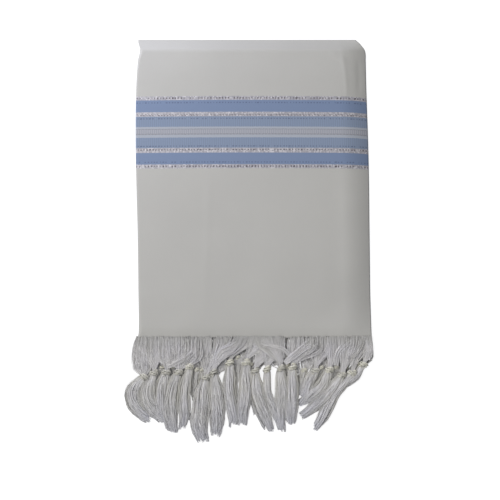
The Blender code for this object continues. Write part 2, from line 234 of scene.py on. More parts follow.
def clothMaterial(name):
    material, nodes = newMaterial(name)
    uv = nodes.add("ShaderNodeUVMap", {"uv_map": "thread"})
    u = nodes.axis(uv, 0) * 1000.0
    v = nodes.axis(uv, 1) * 1000.0
    place = nodes.add("ShaderNodeTexCoord", None, None, 3)

    warp = (u * (2 * math.pi / weave["pitch"])).wave()
    weft = (v * (2 * math.pi / weave["pitch"])).wave()
    slub = nodes.noise(nodes.vector(u * 0.9, v * 0.08), 1.0, 3.0)
    mottle = nodes.noise(place, 14.0, 3.0)
    base = nodes.mix((mottle - 0.35) * 1.6, clothTones["shade"], clothTones["ivory"])
    base = nodes.mix(slub * 0.2, base, clothTones["slub"])
    height = warp * weft * 0.5 + slub * 0.9
    rough = 0.82 - slub * 0.05

    unevenness = nodes.noise(nodes.vector(u * 0.35, 0.0), 1.0) - 0.5
    along = v + unevenness * 1.1
    stops, low, span = bandStops(lambda kind: stripes["colors"][kind])
    share = (along - low) / span
    ramp = {"stops": stops, "blend": "CONSTANT"}
    banded = nodes.add("ShaderNodeValToRGB", ramp, {0: share})

    def mask(*kinds):
        stops = bandStops(lambda kind: 1.0 if kind in kinds else 0.0)[0]
        return nodes.add("ShaderNodeValToRGB", {"stops": stops, "blend": "CONSTANT"}, {0: share})

    plain = mask("plain")
    dashes = mask("dashes", "crossings")
    crossings = mask("crossings")
    ribs = mask("ribbed", "ribbedSpecks", "paleRibs")
    satin = mask("satin", "satinSpecks")
    specks = mask("satinSpecks", "ribbedSpecks")
    line = mask("line")

    # silver thread: a row of dark crossings along a pale glinting ground
    cell = (u + unevenness * 5.0) / stripes["dashPitch"] + (v * 0.02).floor() * 0.37
    chosen = nodes.dice(cell.floor(), (v * 0.1).floor())
    crossing = (cell % 1.0 < 0.34 + chosen * 0.16) * (chosen > 0.1)
    gap = crossing * (0.12 + crossings * 0.82) * (0.6 + chosen * 0.4)
    # painted highlights: random cells of the silver thread coloured brighter, as glints
    glint = nodes.dice((u * 0.6).floor(), (v * 0.6).floor())
    silver = nodes.mix(glint ** 2.0, clothTones["silver"], clothTones["glint"])
    silver = nodes.mix(gap, silver, clothTones["crossing"])
    rib = (u * (2 * math.pi / stripes["ribPitch"])).wave() * 0.5 + 0.5
    ribbed = nodes.mix(rib * 0.45, banded, clothTones["rib"])
    banded = nodes.mix(ribs, banded, ribbed)
    banded = nodes.mix(specks * crossing * 0.55, banded, clothTones["speck"])
    dots = (u * (2 * math.pi / stripes["dotPitch"])).wave() > 0.1
    dotted = nodes.mix(dots * line, banded, clothTones["dot"])
    banded = nodes.mix(dashes, dotted, silver)
    base = nodes.mix(plain, banded, base)
    height = height + rib * ribs * 1.6 + dashes * (glint * 2.2 - gap * 2.0) - line * 1.5
    rough = rough - satin * 0.24 - dashes * 0.3
    metal = dashes * (1.0 - gap) * 0.15

    bump = nodes.add("ShaderNodeBump", None, {"Strength": 0.6, "Distance": weave["depth"], "Height": height})
    sockets = {
        "Base Color": base,
        "Roughness": rough,
        "Metallic": metal,
        "Normal": bump,
        "Sheen Weight": 0.12,
        "Sheen Roughness": 0.5,
        "Specular IOR Level": 0.3,
    }
    addShader(nodes, sockets)
    return material


def threadMaterial(name, tone):
    # a thread's own random tone and painted shade (darker low in its bundle), and its lock's shade, choose
    # between the light and the dark colour: painted lit and shaded thread colours
    material, nodes = newMaterial(name)
    tint, along, shade = (nodes.add("ShaderNodeAttribute", {"attribute_name": fact}, None, 2)
                          for fact in ("tint", "along", "shade"))
    place = nodes.add("ShaderNodeTexCoord", None, None, 3)
    drift = nodes.noise(place, 55.0, 2.0)
    mixed = (tint * (1.0 - tone["shade"]) + shade * tone["shade"]) ** 0.6
    base = nodes.mix(mixed, color(*tone["dark"]), color(*tone["light"]))
    base = nodes.mix((drift - 0.4) * 0.9, base, color(*tone["warm"]))
    # the threads fade towards the tip colour, greyer and darker on the tassels: painted shade where the tips
    # bend down
    base = nodes.mix(along ** 2.5 * tone["fade"], base, color(*tone["tip"]))
    base = nodes.mix((1.0 - along * 3.0).most(0.0) * tone["weave"], base, clothTones["leaving"])
    twist = (nodes.axis(place, 1) * 9000.0 + tint * 40.0).wave()
    bump = nodes.add("ShaderNodeBump", None, {"Strength": 0.3, "Distance": 0.04 * mm, "Height": twist})
    sockets = {
        "Base Color": base,
        "Roughness": 0.62 + drift * 0.12,
        "Normal": bump,
        "Sheen Weight": 0.2,
        "Sheen Roughness": 0.4,
        "Specular IOR Level": 0.35,
    }
    addShader(nodes, sockets)
    return material


# the folded pile, in millimetres
pile = {
    "foldedWidth": 305.0,
    "creaseToNose": 16.5,
    "noseRadius": 2.3,
    "lowerFold": 8.5,  # from the fringe edge to the lower fold's centre
    "lowerFoldRadius": 2.8,
    "lowerFoldReturn": 6.0,
    "rollRadius": 2.1,
    "rollAngle": math.radians(150),
    "droopStart": 0.76,
    "droopDepth": 9.3,
    "weaveEnd": 8.0,  # the front weave stops this far short of the edge, and its threads go on
    "weaveRag": 0.8,
    "lip": 1.9,  # how far the weave bends down over its last stretch
    "lipLength": 15.0,
    "slopeSag": 0.07,
    "thickness": 0.9 * mm,
    "rows": {"front": 190, "slope": 15, "nose": 11, "under": 60, "lowerFold": 9, "return": 5},
    "columns": {"roll": 11, "panel": 86, "right": 36, "rightFrom": 0.8},  # closer at the right
    "softenings": 3,  # of the crease above the slope
    # y, and how far in from the folded width the left and right sides lie
    "sides": [
        (-202, 2.0, -1.3),
        (-185, 4.9, -0.9),
        (-130, 3.9, -0.3),
        (-60, 2.3, -0.1),
        (15, -0.3, -0.1),
        (72, -1.7, 0.7),
        (130, -1.7, 2.1),
        (172, 0.1, 2.7),
        (186, 3.1, 3.3),
        (196, 0.5, 10.5),
        (202, -0.5, 16.0),
    ],
    # y, height at the left edge, height in the middle, share of the droop
    "heights": [
        (-202, 11.4, 12.6, 0.3),
        (-176, 12.2, 14.2, 0.6),
        (-140, 12.5, 15.2, 0.95),
        (-60, 12.6, 16.4, 1.0),
        (60, 12.8, 17.0, 1.0),
        (150, 13.0, 17.2, 1.0),
        (186, 12.6, 16.0, 0.95),
    ],
    # share of the front panel, and how far its left edge rolls there
    "frontRoll": [
        (0.0, 0.05), (0.035, 0.4), (0.09, 0.9), (0.19, 1.0), (0.9, 1.0), (0.965, 0.55), (1.0, 0.25),
    ],
    "underRoll": [(0.0, 0.0), (0.06, 0.6), (0.14, 1.0), (0.86, 1.0), (0.94, 0.6), (1.0, 0.0)],
    # soft folds, listed one by one: x and y of both ends, half width and height
    "creases": [
        (-62, -195, -58, 60, 5.0, 0.22),
        (-150, -58, 150, -52, 16.0, -0.35),
        (-20, -190, 60, -60, 30.0, 0.5),
        (118, 190, 124, 110, 3.0, 0.45),
        (96, 186, 128, 166, 4.0, 0.4),
        (138, 180, 141, 120, 3.5, -0.5),
        (70, -200, 128, -120, 22.0, -0.9),
        (104, -190, 112, 40, 16.0, -0.6),
        (-120, -202, -70, -168, 14.0, 0.4),
        (-140, 150, -30, 182, 20.0, 0.35),
        (148, -206, 146, -96, 22.0, -1.5),
        (-152, -206, -140, -120, 20.0, 0.7),
    ],
}
creaseY = noseY / mm - pile["creaseToNose"]


def readTable(table, column, y):
    # the column at y (mm), on a smooth curve through the rows
    rowY = np.array([row[0] for row in table], dtype=float)
    values = np.array([row[column] for row in table], dtype=float)
    i = np.clip(np.searchsorted(rowY, y) - 1, 0, len(rowY) - 2)
    t = np.clip((y - rowY[i]) / (rowY[i + 1] - rowY[i]), 0.0, 1.0)
    before, low, high, after = (values[np.clip(i + k, 0, len(values) - 1)] for k in (-1, 0, 1, 2))
    bendIn = (high - before) / 2
    bendOut = (after - low) / 2
    rise = high - low
    return low + t * (bendIn + t * (3 * rise - 2 * bendIn - bendOut + t * (bendIn + bendOut - 2 * rise)))


def leftSide(y):
    return -pile["foldedWidth"] / 2 + readTable(pile["sides"], 1, y)


def rightSide(y):
    return pile["foldedWidth"] / 2 - readTable(pile["sides"], 2, y)


def pileTop(x, y):
    middle = (leftSide(y) + rightSide(y)) / 2
    across = (x - middle) / (rightSide(y) - middle)
    edge = readTable(pile["heights"], 1, y)
    crown = readTable(pile["heights"], 2, y) - edge
    droop = np.maximum(0.0, (across - pile["droopStart"]) / (1 - pile["droopStart"])) ** 2
    droop = droop * pile["droopDepth"] * readTable(pile["heights"], 3, y)
    lip = np.clip((edgeY / mm + pile["weaveEnd"] + pile["lipLength"] - y) / pile["lipLength"], 0.0, 1.0) ** 2
    return edge + crown * np.maximum(0.0, 1 - across * across) - droop - pile["lip"] * lip


def creased(x, y):
    # height that the listed folds add at x, y
    total = np.zeros(np.broadcast(x, y).shape)
    for x0, y0, x1, y1, width, height in pile["creases"]:
        length = math.hypot(x1 - x0, y1 - y0)
        along = ((x - x0) * (x1 - x0) + (y - y0) * (y1 - y0)) / length ** 2
        off = ((x - x0) * (y1 - y0) - (y - y0) * (x1 - x0)) / length
        bend = width * 0.25 * np.sin(along * 5.0 + x0)
        fade = np.clip(along * 3.0, 0, 1) * np.clip((1 - along) * 3.0, 0, 1)
        fade = fade * fade * (3 - 2 * fade)
        total = total + height * fade * np.exp(-((off + bend) / width) ** 2)
    return total


def rolled(length, roll):
    full = pile["rollRadius"] * pile["rollAngle"]
    angle = max(roll * pile["rollAngle"], 1e-4)
    radius = full / angle
    turn = angle * length / full
    return radius * np.sin(turn), radius * (1 - np.cos(turn))


def gridMesh(name, points, uvs):
    # a sheet of quads from rows of points, with the cloth's own UV map in metres
    rows, columns = points.shape[:2]
    mesh = bpy.data.meshes.new(name)
    index = np.arange(rows * columns).reshape(rows, columns)
    faces = np.stack([index[:-1, :-1], index[:-1, 1:], index[1:, 1:], index[1:, :-1]], axis=-1).reshape(-1, 4)
    mesh.from_pydata(points.reshape(-1, 3).tolist(), [], faces.tolist())
    layer = mesh.uv_layers.new(name="thread")
    layer.data.foreach_set("uv", uvs.reshape(-1, 2)[faces.reshape(-1)].astype(np.float32).reshape(-1))
    mesh.shade_smooth()
    return mesh


def addPiece(name, mesh, material):
    piece = bpy.data.objects.new(name, mesh)
    bpy.context.scene.collection.objects.link(piece)
    if material is not None:
        mesh.materials.clear()
        mesh.materials.append(material)
    return piece


def addWall(piece, thickness, offset=-1.0):
    wall = piece.modifiers.new("wall", "SOLIDIFY")
    wall.thickness = thickness
    wall.offset = offset


def makeShawlCloth():
    # rows run from the fringe edge over the top fold and back under to the lower fold
    edge = edgeY / mm
    radius = pile["noseRadius"]
    noseCentre = noseY / mm - radius
    lower = edge + pile["lowerFold"]
    lowerRadius = pile["lowerFoldRadius"]
    columns = pile["columns"]
    rollShares = np.linspace(1.0, 0.0, columns["roll"])
    panelShares = np.linspace(0.0, columns["rightFrom"], columns["panel"])
    flatShares = np.concatenate([panelShares, np.linspace(columns["rightFrom"], 1.0, columns["right"])[1:]])
    full = pile["rollRadius"] * pile["rollAngle"]
    count = pile["rows"]
    rows = []

    def addRow(y, height, roll, inward, ragged=0.0):
        out, depth = rolled(full * rollShares, roll)
        start = leftSide(y) + rolled(full * np.linspace(0, 1, 20), roll)[0].max()
        flat = start + (rightSide(y) - start) * flatShares
        x = np.concatenate([start - out, flat[1:]])
        z = np.concatenate([height(start) + inward * depth, height(flat[1:])])
        rows.append(np.stack([x, np.full_like(x, y) + ragged * pile["weaveRag"] * wander(x), z], axis=-1))

    def wander(x):
        return np.sin(x * 0.21) + 0.6 * np.sin(x * 0.53 + 1.0) + 0.5 * np.sin(x * 1.31 + 2.0)

    for share in np.linspace(0.0, 1.0, count["front"]):
        y = edge + pile["weaveEnd"] + (creaseY - edge - pile["weaveEnd"]) * share
        roll = np.interp(share, *zip(*pile["frontRoll"]))
        addRow(y, lambda x, y=y: pileTop(x, y) + creased(x, y), roll, -1, max(0.0, 1 - share * 24))
    creaseRow = len(rows) - 1
    for share in np.linspace(0.0, 1.0, count["slope"])[1:]:
        y = creaseY + (noseCentre - creaseY) * share

        def slope(x, share=share):
            straight = pileTop(x, creaseY) * (1 - share) + 2 * radius * share
            return straight - pile["slopeSag"] * math.sin(math.pi * share) * (straight - 2 * radius)

        addRow(y, slope, 0.0, -1)
    for angle in np.radians(np.linspace(90, -90, count["nose"])[1:]):
        y = noseCentre + radius * math.cos(angle)
        addRow(y, lambda x, angle=angle: radius + radius * math.sin(angle) + 0 * x, 0.0, 1)
    for share in np.linspace(0.0, 1.0, count["under"])[1:]:
        y = noseCentre + (lower - noseCentre) * share
        roll = np.interp(share, *zip(*pile["underRoll"]))
        addRow(y, lambda x: 0.0 * x, roll, 1)
    for angle in np.radians(np.linspace(270, 90, count["lowerFold"])[1:]):
        y = lower + lowerRadius * math.cos(angle)
        addRow(y, lambda x, angle=angle: lowerRadius + lowerRadius * math.sin(angle) + 0 * x, 0.0, 1)
    for out in np.linspace(0, pile["lowerFoldReturn"], count["return"])[1:]:
        addRow(lower + out, lambda x: 2 * lowerRadius + 0 * x, 0.0, 1)

    grid = np.array(rows)
    for softening in range(pile["softenings"]):
        near = slice(creaseRow - 2, creaseRow + 3)
        before = grid[creaseRow - 3:creaseRow + 2]
        after = grid[creaseRow - 1:creaseRow + 4]
        grid[near] = grid[near] * 0.5 + (before + after) * 0.25
    middle = grid[:, 70]  # a column well inside the panel
    along = np.concatenate([[0.0], np.cumsum(np.linalg.norm(np.diff(middle, axis=0), axis=1))])
    along += pile["weaveEnd"]
    rollU = -full * rollShares
    flatU = flatShares[1:] * pile["foldedWidth"]
    u = np.concatenate([rollU, flatU])
    uvs = np.stack(np.broadcast_arrays(u[None, :], along[:, None]), axis=-1) * mm
    mesh = gridMesh("shawlCloth", grid * mm, uvs)
    piece = addPiece("shawlCloth", mesh, clothMaterial("striped cloth"))
    addWall(piece, pile["thickness"])
    print("shawl cloth:", len(mesh.polygons), "faces")
    return piece


# the layers inside
inner = {
    "thickness": 0.85 * mm,
    "spread": 26.0,  # how far in from the fold the layers take their even places
    "rows": 60,
    "columns": 60,
    "foldedColumns": 40,  # on each half of a pair that the fold joins
    "foldPoints": 9,
    "layers": 8.0,
    # levels from the underside up, how far each stops short of the right side, the fringe edge,
    # the top fold and the left side, and where its cloth starts in the pattern
    "sheets": [
        {"levels": (1,), "right": (3.2,), "fringe": 22.0, "top": 7.0, "back": 4.2, "along": 430.0},
        {"levels": (2, 3), "right": (4.4, 5.8), "fringe": 20.0, "top": 5.0, "back": 0.8, "along": 430.0},
        {"levels": (4, 5), "right": (8.6, 10.6), "fringe": 9.6, "top": 8.0, "back": 1.0, "along": 0.0},
        {"levels": (6,), "right": (14.0,), "fringe": 9.0, "top": 15.0, "back": 4.4, "along": 0.0},
    ],
    "edgeHeights": (0.5, 3.7, 4.55, 5.95, 6.75, 8.15, 8.9),  # at the left, in a pile 12.6 high
    "edgePile": 12.6,
}


def smoothStep(value):
    value = np.clip(value, 0.0, 1.0)
    return value * value * (3 - 2 * value)


def layerHeight(level, x, y):
    over = np.minimum(y, creaseY)
    top = pileTop(x, over) + np.minimum(creased(x, over), 0.0)
    slope = np.clip((y - creaseY) / (pile["creaseToNose"] - pile["noseRadius"]), 0.0, 1.0)
    top = top * (1 - slope) + 2 * pile["noseRadius"] * slope
    fromRight = rightSide(y) - x
    count = inner["layers"]
    for sheet in inner["sheets"]:
        for end in sheet["right"]:
            count = count - (1 - smoothStep((fromRight - end + 2.0) / 4.0))
    even = 0.5 + level * (top - 1.0) / np.maximum(count - 1, level + 1.0)
    atEdge = inner["edgeHeights"][level] * top / inner["edgePile"]
    share = smoothStep((x - leftSide(y)) / inner["spread"])
    return atEdge * (1 - share) + even * share


def makeInnerLayers():
    meshes = []
    for number, sheet in enumerate(inner["sheets"]):
        south = edgeY / mm + sheet["fringe"]
        north = noseY / mm - sheet["top"]
        rows = []
        for y in np.linspace(south, north, inner["rows"]):
            wander = 0.5 * math.sin(y * 0.045 + number * 2.0) + 0.3 * math.sin(y * 0.13 + number)
            west = leftSide(y) + sheet["back"] + wander
            if len(sheet["levels"]) == 2:
                low, high = sheet["levels"]
                ends = [rightSide(y) - end + 0.8 * math.sin(y * 0.06 + end) for end in sheet["right"]]
                radius = (layerHeight(high, west + 1.0, y) - layerHeight(low, west + 1.0, y)) / 2
                shares = np.linspace(1, 0, inner["foldedColumns"]) ** 1.5
                lowX = west + radius + (ends[0] - west - radius) * shares
                highX = west + radius + (ends[1] - west - radius) * shares[::-1]
                middle = (layerHeight(high, west + 1.0, y) + layerHeight(low, west + 1.0, y)) / 2
                turn = np.radians(np.linspace(270, 90, inner["foldPoints"])[1:-1])
                lowZ = layerHeight(low, lowX, y)
                highZ = layerHeight(high, highX, y)
                x = np.concatenate([lowX, west + radius + radius * np.cos(turn), highX])
                z = np.concatenate([lowZ, middle + radius * np.sin(turn), highZ])
            else:
                level = sheet["levels"][0]
                end = rightSide(y) - sheet["right"][0] + 0.8 * math.sin(y * 0.05)
                x = west + (end - west) * np.linspace(0, 1, inner["columns"])
                z = layerHeight(level, x, y)
            rows.append(np.stack([x, np.full_like(x, y), z], axis=-1))
        grid = np.array(rows)
        steps = np.linalg.norm(np.diff(grid[len(grid) // 2], axis=0), axis=1)
        across = np.concatenate([[0.0], np.cumsum(steps)])
        along = np.abs(grid[:, 0, 1] - edgeY / mm) + sheet["along"]
        uvs = np.stack(np.broadcast_arrays(across[None, :], along[:, None]), axis=-1) * mm
        if len(sheet["levels"]) == 2:
            grid = grid[:, ::-1]
            uvs = uvs[:, ::-1]
        meshes.append(gridMesh("layer", grid * mm, uvs))
    material = clothMaterial("inner cloth")
    piece = joinMeshes("innerLayers", meshes, material)
    addWall(piece, inner["thickness"], 0.0)
    print("inner layers:", len(piece.data.polygons), "faces")
    return piece


def joinMeshes(name, meshes, material):
    parts = [addPiece(name, mesh, None) for mesh in meshes]
    with bpy.context.temp_override(active_object=parts[0], selected_editable_objects=parts):
        bpy.ops.object.join()
    parts[0].data.materials.clear()
    parts[0].data.materials.append(material)
    return parts[0]


# what the Geometry Nodes tree of threads asks for
threadInputs = [
    ("Threads", "NodeSocketInt"),
    ("Thread radius", "NodeSocketFloat"),
    ("Sides", "NodeSocketInt"),
    ("Roundness", "NodeSocketFloat"),  # 0 spreads the threads flat, 1 in a round bundle
    ("Uneven start", "NodeSocketFloat"),  # shares of the length by which the ends differ
    ("Ragged", "NodeSocketFloat"),
    ("Wander scale", "NodeSocketFloat"),
    ("Floor", "NodeSocketFloat"),
    ("Seed", "NodeSocketInt"),
    ("Material", "NodeSocketMaterial"),
]


def threadTree():
    tree = bpy.data.node_groups.new("bundles of threads", "GeometryNodeTree")
    tree.interface.new_socket("Geometry", in_out="INPUT", socket_type="NodeSocketGeometry")
    for name, kind in threadInputs:
        tree.interface.new_socket(name, in_out="INPUT", socket_type=kind)
    tree.interface.new_socket("Geometry", in_out="OUTPUT", socket_type="NodeSocketGeometry")
    nodes = Nodes(tree)

    def asked(name):
        return nodes.add("NodeGroupInput", None, None, name)

    def named(name, kind="FLOAT"):
        return nodes.add("GeometryNodeInputNamedAttribute", {"data_type": kind}, {"Name": name})

    guides = nodes.add("GeometryNodeMeshToCurve", None, {"Mesh": asked("Geometry")})
    copies = nodes.add("GeometryNodeDuplicateElements", {"domain": "SPLINE"},
                       {"Geometry": guides, "Amount": asked("Threads")})
    number = nodes.add("GeometryNodeFieldOnDomain", {"domain": "CURVE", "data_type": "INT"},
                       {0: nodes.add("GeometryNodeInputIndex")})

    def chance(step):
        return nodes.add("FunctionNodeRandomValue", {"data_type": "FLOAT"},
                         {2: 0.0, 3: 1.0, "ID": number, "Seed": asked("Seed") + step}, 1)

    first, second, own = chance(0), chance(1), chance(2)
    angle = first * (2 * math.pi) + named("turn")
    reach = second ** 0.5
    roundness = asked("Roundness")
    flatA = first * 2.0 - 1.0
    flatB = second * 2.0 - 1.0
    a = flatA + (reach * angle.math("COSINE", angle) - flatA) * roundness
    b = flatB + (reach * angle.wave() - flatB) * roundness
    sideways = nodes.scaled(named("across", "FLOAT_VECTOR"), a * named("wide"))
    upward = nodes.scaled(named("rise", "FLOAT_VECTOR"), b * named("high"))
    where = nodes.add("GeometryNodeInputPosition")
    wander = nodes.add("ShaderNodeTexNoise", {"noise_dimensions": "4D"},
                       {"Vector": where, "W": own * 7.0, "Scale": asked("Wander scale"), "Detail": 1.0}, 1)
    wander = nodes.add("ShaderNodeVectorMath", {"operation": "SUBTRACT"}, {0: wander, 1: (0.5, 0.5, 0.5)})
    offset = nodes.plus(nodes.plus(sideways, upward), nodes.scaled(wander, named("loose")))
    spread = nodes.add("GeometryNodeSetPosition", None, {"Geometry": copies, "Offset": offset})
    x, y, z = (nodes.axis(where, k) for k in range(3))
    lifted = nodes.vector(x, y, z.most(asked("Floor")))
    lying = nodes.add("GeometryNodeSetPosition", None, {"Geometry": spread, "Position": lifted})
    cut = nodes.add("GeometryNodeTrimCurve", {"mode": "FACTOR"},
                    {"Curve": lying, "Start": chance(5) * asked("Uneven start"),
                     "End": 1.0 - chance(3) * asked("Ragged")})
    # a thread's random tone, plus painted shade: threads lower in their bundle are darker, those on top
    # lighter
    tintedAndShaded = nodes.add("GeometryNodeStoreNamedAttribute", {"data_type": "FLOAT", "domain": "POINT"},
                       {"Geometry": cut, "Name": "tint", "Value": chance(4) * 0.3 + (b + 1.0) * 0.35})
    share = nodes.add("GeometryNodeSplineParameter", None, None, 0)
    placed = nodes.add("GeometryNodeStoreNamedAttribute", {"data_type": "FLOAT", "domain": "POINT"},
                       {"Geometry": tintedAndShaded, "Name": "along", "Value": share})
    section = nodes.add("GeometryNodeCurvePrimitiveCircle", {"mode": "RADIUS"},
                        {"Resolution": asked("Sides"), "Radius": asked("Thread radius")})
    tubes = nodes.add("GeometryNodeCurveToMesh", None,
                      {"Curve": placed, "Profile Curve": section, "Fill Caps": True})
    smooth = nodes.add("GeometryNodeSetShadeSmooth", None, {"Geometry": tubes})
    whole = nodes.add("GeometryNodeRealizeInstances", None, {"Geometry": smooth})
    dyed = nodes.add("GeometryNodeSetMaterial", None, {"Geometry": whole, "Material": asked("Material")})
    nodes.add("NodeGroupOutput", None, {"Geometry": dyed})
    return tree


class Guides:
    # the lines that bundles of threads follow, and each point's spread there

    def __init__(self):
        self.points = []
        self.edges = []
        self.facts = {"wide": [], "high": [], "turn": [], "loose": [], "shade": []}
        self.axes = {"across": [], "rise": []}

    def line(self, points, wide, high, turn=0.0, loose=0.0, across=None, shade=0.5):
        points = np.asarray(points, dtype=float)
        count = len(points)
        first = len(self.points)
        ahead = np.gradient(points, axis=0)
        ahead /= np.linalg.norm(ahead, axis=1)[:, None]
        if across is None:
            across = np.cross(ahead, (0.0, 0.0, 1.0))
        across = np.broadcast_to(across, points.shape)
        across = across / np.linalg.norm(across, axis=1)[:, None]
        rise = np.cross(across, ahead)
        rise /= np.linalg.norm(rise, axis=1)[:, None]
        self.points.extend(points.tolist())
        self.edges.extend((first + k, first + k + 1) for k in range(count - 1))
        given = {"wide": wide, "high": high, "turn": turn, "loose": loose, "shade": shade}
        for name, value in given.items():
            self.facts[name].extend(np.broadcast_to(value, (count,)).tolist())
        self.axes["across"].extend(across.tolist())
        self.axes["rise"].extend(rise.tolist())

    def threads(self, name, tree, settings, material):
        mesh = bpy.data.meshes.new(name + "Guides")
        mesh.from_pydata((np.array(self.points) * mm).tolist(), self.edges, [])
        for fact, values in self.facts.items():
            scale = 1.0 if fact in ("turn", "shade") else mm
            layer = mesh.attributes.new(fact, "FLOAT", "POINT")
            layer.data.foreach_set("value", np.array(values, dtype=np.float32) * scale)
        for axis, values in self.axes.items():
            layer = mesh.attributes.new(axis, "FLOAT_VECTOR", "POINT")
            layer.data.foreach_set("vector", np.array(values, dtype=np.float32).reshape(-1))
        guide = addPiece(name + "Guides", mesh, None)
        maker = guide.modifiers.new("threads", "NODES")
        maker.node_group = tree
        sockets = {item.name: item.identifier for item in tree.interface.items_tree if item.in_out == "INPUT"}
        for key, value in settings.items():
            maker[sockets[key]] = value
        maker[sockets["Material"]] = material
        depsgraph = bpy.context.evaluated_depsgraph_get()
        made = bpy.data.meshes.new_from_object(guide.evaluated_get(depsgraph), depsgraph=depsgraph)
        guide.modifiers.remove(maker)
        bpy.data.objects.remove(guide)
        piece = addPiece(name, made, material)
        triangles = sum(len(face.vertices) - 2 for face in made.polygons)
        print(name + ":", triangles, "triangles")
        return piece


def curve(start, middle, end, t):
    # passes through its middle point halfway
    start, middle, end = (np.asarray(p, dtype=float) for p in (start, middle, end))
    control = 2 * middle - (start + end) / 2
    t = np.asarray(t)[:, None]
    return (1 - t) ** 2 * start + 2 * t * (1 - t) * control + t * t * end


upperFringe = {
    "columns": ("rootWest", "rootEast", "bend", "knotX", "knotOut", "midX", "midOut", "tipX", "tipOut",
                "spread", "over"),
    # millimetres across from the middle and out from the cloth's edge, near the solids' lines;
    # bend: how soon a fan's threads turn to the knot, over: how far the fan lies on the next
    "rows": [
        (-152, -132, -0.25, -141, 42, -156, 70, -132, 97, 18, 0.0),
        (-144, -112, 0.4, -128, 37, -134, 72, -114, 100, 19, 0.8),
        (-124, -92, 0.2, -112, 36, -120, 68, -111, 97, 17, 1.6),
        (-108, -67, 0.05, -96, 36, -107, 74, -102, 114, 20, 3.0),
        (-82, -54, 0.3, -82, 29, -88, 66, -93, 107, 15, -0.4),
        (-70, -33, 0.5, -61, 43, -68, 84, -62, 125, 22, 0.6),
        (-44, -7, 0.88, -51, 36, -46, 80, -49, 117, 20, 2.6),
        (-22, 8, 0.9, -30, 24, -29, 64, -27, 106, 15, 0.5),
        (-6, 17, 0.6, -9, 24, -11, 64, -12, 104, 17, 0.9),
        (5, 24, 0.3, 3, 34, 8, 72, 23, 111, 18, 0.2),
        (14, 36, 0.2, 18, 32, 22, 68, 31, 104, 10, 0.2),
        (1, 40, 0.9, 36, 31, 36, 68, 38.5, 111, 16, 2.0),
        (46, 89, 0.55, 51, 30, 50, 68, 48, 105, 16, 2.8),
        (80, 108, 0.5, 80, 34, 72, 50, 60, 68, 13, 0.2),
        (96, 122, 0.6, 98, 33, 84, 57, 61, 79, 15, 0.4),
        (112, 144, 0.9, 114, 40, 94, 66, 62, 92, 16, 3.0),
        (128, 152, 0.8, 127, 37, 102, 72, 77, 108, 14, 0.3),
        (139, 153, 0.1, 142, 26, 128, 44, 114, 62, 9, 0.2),
    ],
    # locks that lie across the fans: points across and out from the edge, half width, height over them
    "sweeps": [
        {"line": [(-76, -8), (-75, 2), (-83, 12), (-97, 21), (-111, 28)], "wide": 7.0, "over": 2.2},
        {"line": [(-98, -8), (-98, 4), (-106, 14), (-120, 23)], "wide": 7.0, "over": 1.2},
        {"line": [(-14, -8), (-27, 1), (-42, 9), (-50, 22)], "wide": 5.0, "over": 3.0},
        {"line": [(2, -8), (12, -1), (27, 4), (40, 7), (49, 18)], "wide": 4.0, "over": 2.4},
        {"line": [(80, -8), (69, 1), (54, 13), (41, 24)], "wide": 6.0, "over": 3.2},
        {"line": [(130, -8), (118, 2), (110, 12), (107, 27)], "wide": 5.5, "over": 3.0},
        {"line": [(149, -8), (141, 2), (131, 11), (126, 27)], "wide": 4.0, "over": 2.4},
    ],
    "gather": 0.94,  # share of the way to the knot by which a fan's locks close in
    "creamKnots": (4, 7, 8, 10, 12, 14, 16, 17),
    "onWeave": 3.5,  # threads float up out of the weave this far above its end
    "rootTop": 14.5,
    "rootRise": -0.1,
    "fanPast": -2.5,  # where a fan ends, from its knot's centre towards the tip
    "bulge": 5.0,  # how far the first and last fan bow outwards
    "sway": 2.6,
    "fanLocks": 7,
    "knot": 8.0,  # heights of the knot, of the tassel's middle and of its tip
    "rest": 5.4,
    "tip": 2.6,
    "high": 3.1,
    "knotWide": 6.0,
    "neck": 9.5,  # a tassel's width just past its knot
    "locks": 5,
    "fanHigh": 0.8,
    "light": 1.0,
}
lowerFringe = {
    "columns": ("knotX", "knotOut", "midX", "midOut", "tipX", "tipOut", "spread"),
    "rows": [
        (-134, 33, -141, 60, -126, 88, 13.0),
        (-118, 30, -126, 60, -116, 88, 13.0),
        (-103, 29, -110, 60, -107, 92, 13.0),
        (-88, 30, -94, 58, -82, 98, 12.0),
        (-73, 33, -74, 54, -70, 92, 12.0),
        (-66, 33, -63, 58, -56, 94, 13.0),
        (-20, 17, -20, 56, -20, 88, 14.0),
        (-3, 26, -2, 56, 4, 90, 12.0),
        (36, 22, 37, 56, 35, 90, 8.0),
        (45, 27, 44, 58, 43, 90, 10.0),
        (66, 33, 62, 48, 56, 64, 10.0),
        (88, 30, 80, 46, 66, 66, 11.0),
        (107, 30, 97, 50, 76, 76, 12.0),
        (120, 30, 104, 54, 84, 80, 11.0),
        (137, 25, 126, 42, 114, 58, 8.0),
    ],
    "sweeps": [],
    "gather": 0.55,
    "creamKnots": tuple(range(15)),
    "onWeave": 2.5,
    "rootTop": 7.4,
    "rootRise": -0.4,
    "fanPast": 5.0,
    "bulge": 3.0,
    "sway": 1.8,
    "fanLocks": 5,
    "knot": 3.9,
    "rest": 2.6,
    "tip": 1.8,
    "high": 1.7,
    "knotWide": 3.8,
    "neck": 7.0,
    "locks": 4,
    "fanHigh": 0.7,
    "light": 0.4,  # it lies in the shade of the upper fringe
}


